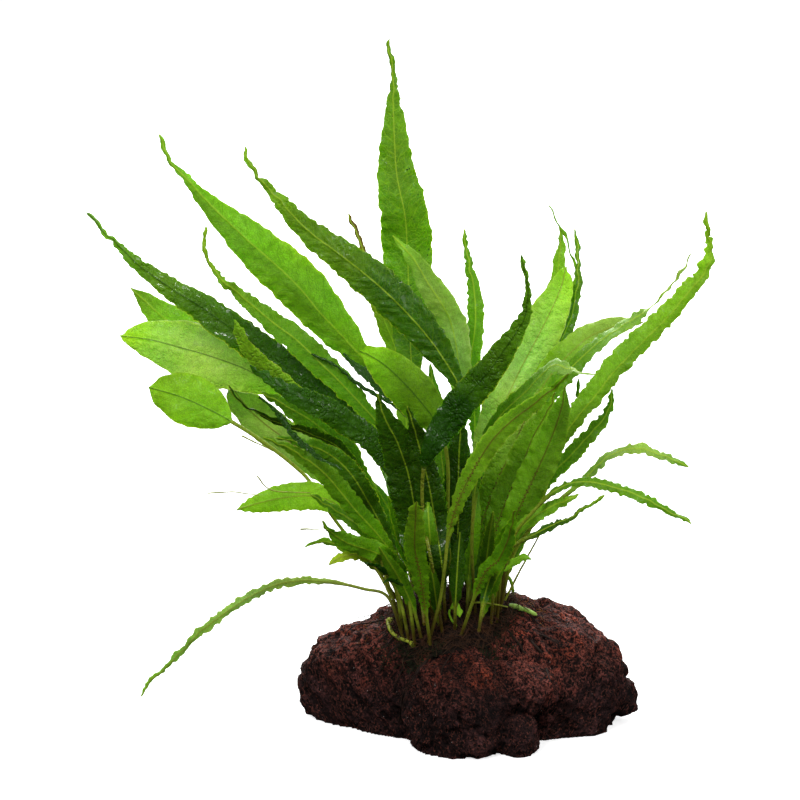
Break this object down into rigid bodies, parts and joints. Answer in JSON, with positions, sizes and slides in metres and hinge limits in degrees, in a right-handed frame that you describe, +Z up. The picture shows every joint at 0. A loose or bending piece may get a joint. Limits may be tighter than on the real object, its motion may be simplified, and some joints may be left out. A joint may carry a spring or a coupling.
{
  "type": "java fern on stone",
  "caption": "Java fern: a dense fan of long wavy lance-shaped leaves rising from a root mat on a rounded lump of porous reddish-brown lava rock.",
  "frame": {"origin": "on the ground under the middle of the stone, in the plane of its flat underside", "axes": "+Z up; -Y is the front, where the picture looks from; +X is to the right in that view"},
  "size_m": [0.204, 0.1383, 0.2265],
  "materials": {
    "stone": "rough, porous",
    "roots": "fibrous, matte",
    "rhizome": "smooth, moist",
    "stalk": "smooth, moist",
    "leaf_bright": "wet, glossy",
    "leaf_light": "wet, glossy",
    "leaf_mid": "wet, glossy",
    "leaf_dark": "wet, glossy",
    "leaf_deep": "wet, glossy"
  },
  "bodies": {
    "root": {"stone": "stone", "root_mat": "roots", "rhizome_tip": "rhizome", "fiddlehead": "stalk", "bent_stalk": "stalk", "young_curled_leaf": "stalk", "leaf_back_far_left": "leaf_dark", "leaf_back_far_right": "leaf_dark", "leaf_back_low_left": "leaf_dark", "leaf_back_low_right": "leaf_dark", "leaf_back_left": "leaf_mid", "leaf_back_right": "leaf_mid", "leaf_back_tall": "leaf_mid", "leaf_left_behind": "leaf_light", "leaf_brown_tip": "leaf_light", "leaf_left_pale": "leaf_light", "leaf_right_forked_tip": "leaf_light", "leaf_right_twisted_tip": "leaf_light", "leaf_middle_crinkled": "leaf_mid", "leaf_tall_centre": "leaf_mid", "leaf_middle_pale": "leaf_light", "leaf_right_dark": "leaf_dark", "leaf_bright_right": "leaf_bright", "leaf_right_curved": "leaf_bright", "leaf_right_long_tip": "leaf_mid", "leaf_upper_left": "leaf_light", "leaf_left_broad": "leaf_bright", "leaf_left_rounded": "leaf_bright", "leaf_left_yellow": "leaf_bright", "leaf_left_olive": "leaf_mid", "leaf_far_left": "leaf_deep", "leaf_left_curled_tip": "leaf_light", "leaf_quilted_centre": "leaf_dark", "leaf_right_crinkled": "leaf_mid", "leaf_right_long": "leaf_light", "leaf_left_dark_crinkled": "leaf_deep", "leaf_left_glossy": "leaf_deep", "leaf_right_spore_dotted": "leaf_dark", "leaf_right_inner": "leaf_mid", "leaf_right_outer": "leaf_mid", "leaf_right_arch_blunt": "leaf_light", "leaf_right_short_low": "leaf_light", "leaf_right_arch": "leaf_mid", "leaf_right_torn": "leaf_dark", "leaf_left_blade_upper": "leaf_dark", "leaf_left_small_sharp": "leaf_mid", "leaf_left_blade_lower": "leaf_mid", "leaf_left_arch_thin": "leaf_light", "leaf_left_droop": "leaf_light", "leaf_left_small_yellow": "leaf_bright", "leaf_left_folded": "leaf_mid", "leaf_dark_middle": "leaf_deep", "leaf_short_olive": "leaf_light", "leaf_dark_broad": "leaf_deep", "leaf_dark_inner": "leaf_deep", "leaf_dark_front": "leaf_deep", "leaf_hooked_tip": "leaf_mid", "leaf_front_long": "leaf_light", "leaf_front_dotted": "leaf_mid", "leaf_front_lance": "leaf_mid"}
  },
  "joints": []
}
